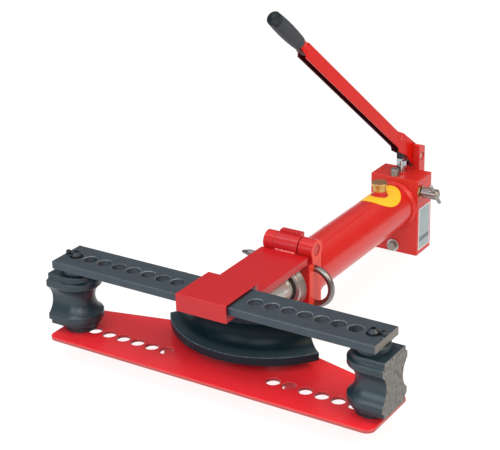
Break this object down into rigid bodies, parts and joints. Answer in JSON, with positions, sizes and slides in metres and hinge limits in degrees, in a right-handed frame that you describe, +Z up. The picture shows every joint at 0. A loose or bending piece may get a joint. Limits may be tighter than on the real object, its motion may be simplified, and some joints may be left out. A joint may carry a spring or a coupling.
{
  "type": "hydraulic pipe bender",
  "caption": "Hand-pumped hydraulic pipe bender: open T frame with a hinged drilled cross bar, grooved swivel supports, a grooved bending former on a chromed ram and a pump lever.",
  "frame": {"origin": "on the floor, below the middle of the tool's footprint box", "axes": "+X along the cross bar to the right, +Y from the former back to the pump, +Z up; Z = 0 is the floor"},
  "size_m": [0.645, 0.777, 0.5888],
  "materials": {
    "red_paint": "gloss",
    "black_paint": "satin",
    "grey_casting": "satin",
    "black_enamel": "gloss",
    "chrome": "polished",
    "bright_steel": "turned",
    "zinc_steel": "zinc plated",
    "brass": "satin",
    "rubber": "matte",
    "grip_rubber": "matte",
    "plate_aluminium": "satin"
  },
  "bodies": {
    "frame": {"lower_wing": "red_paint", "left_foot": "red_paint", "right_foot": "red_paint", "foot_studs": "bright_steel", "frame_head": "red_paint", "hinge_pin": "red_paint", "cylinder_nose": "bright_steel", "ram_wiper": "rubber", "cylinder_jacket": "red_paint", "pressure_tube": "bright_steel", "collar_ring": "red_paint", "return_spring": "bright_steel", "pump_block": "red_paint", "plunger_gland": "red_paint", "top_plug": "bright_steel", "lever_bracket": "red_paint", "bracket_bolts": "zinc_steel", "lever_pivot": "zinc_steel", "filler_neck": "red_paint", "release_gland": "brass", "drain_washer": "bright_steel", "drain_bolt": "zinc_steel", "data_plate": "plate_aluminium"},
    "wing_arm": {"upper_arm": "red_paint", "bar_sleeve": "red_paint", "cross_bar": "black_paint", "keeper_studs": "black_paint"},
    "left_roller": {"left_support": "grey_casting", "left_support_pin": "black_paint", "left_lower_collar": "black_paint", "left_upper_collar": "black_paint"},
    "right_roller": {"right_support": "grey_casting", "right_support_pin": "black_paint", "right_lower_collar": "black_paint", "right_upper_collar": "black_paint"},
    "ram_group": {"ram": "chrome", "piston": "bright_steel", "piston_seal": "rubber", "piston_nut": "bright_steel", "bending_former": "black_enamel"},
    "fork": {"fork_pin": "zinc_steel"},
    "lever": {"pump_lever": "red_paint", "cheek_rivet": "red_paint", "lever_grip": "grip_rubber"},
    "plunger_group": {"plunger": "chrome", "crank_pin": "bright_steel"},
    "filler": {"filler_cap": "brass"},
    "release_valve": {"release_spindle": "bright_steel", "tommy_bar": "bright_steel"}
  },
  "joints": [
    {"name": "arm_hinge", "type": "hinge", "parent": "frame", "child": "wing_arm", "pos_m": [0, -0.0975, 0.169], "axis": [-1, 0, 0], "range_deg": [0, 100]},
    {"name": "left_swivel", "type": "hinge", "parent": "frame", "child": "left_roller", "pos_m": [-0.285, -0.3295, 0.1], "axis": [0, 0, 1], "continuous": true},
    {"name": "right_swivel", "type": "hinge", "parent": "frame", "child": "right_roller", "pos_m": [0.285, -0.3295, 0.1], "axis": [0, 0, 1], "continuous": true},
    {"name": "ram_slide", "type": "slide", "parent": "frame", "child": "ram_group", "axis": [0, -1, 0], "range_m": [-0.09, 0.15], "deforming": ["return_spring"]},
    {"name": "fork_slide", "type": "slide", "parent": "frame", "child": "fork", "axis": [1, 0, 0], "range_m": [0, 0.155]},
    {"name": "lever_pivot_turn", "type": "hinge", "parent": "frame", "child": "lever", "pos_m": [0, 0.3685, 0.182], "axis": [-1, 0, 0], "range_deg": [-27, 6]},
    {"name": "plunger_slide", "type": "slide", "parent": "frame", "child": "plunger_group", "axis": [0, 0, 1], "range_m": [-0.024, 0.009]},
    {"name": "filler_turn", "type": "hinge", "parent": "frame", "child": "filler", "pos_m": [0, 0.2345, 0.152], "axis": [0, 0, 1], "continuous": true},
    {"name": "release_turn", "type": "hinge", "parent": "frame", "child": "release_valve", "pos_m": [0.051, 0.3065, 0.134], "axis": [1, 0, 0], "range_deg": [0, 270]}
  ],
  "couplings": [
    {"joint": "plunger_slide", "follows": "lever_pivot_turn", "m_per_rad": 0.0485}
  ]
}
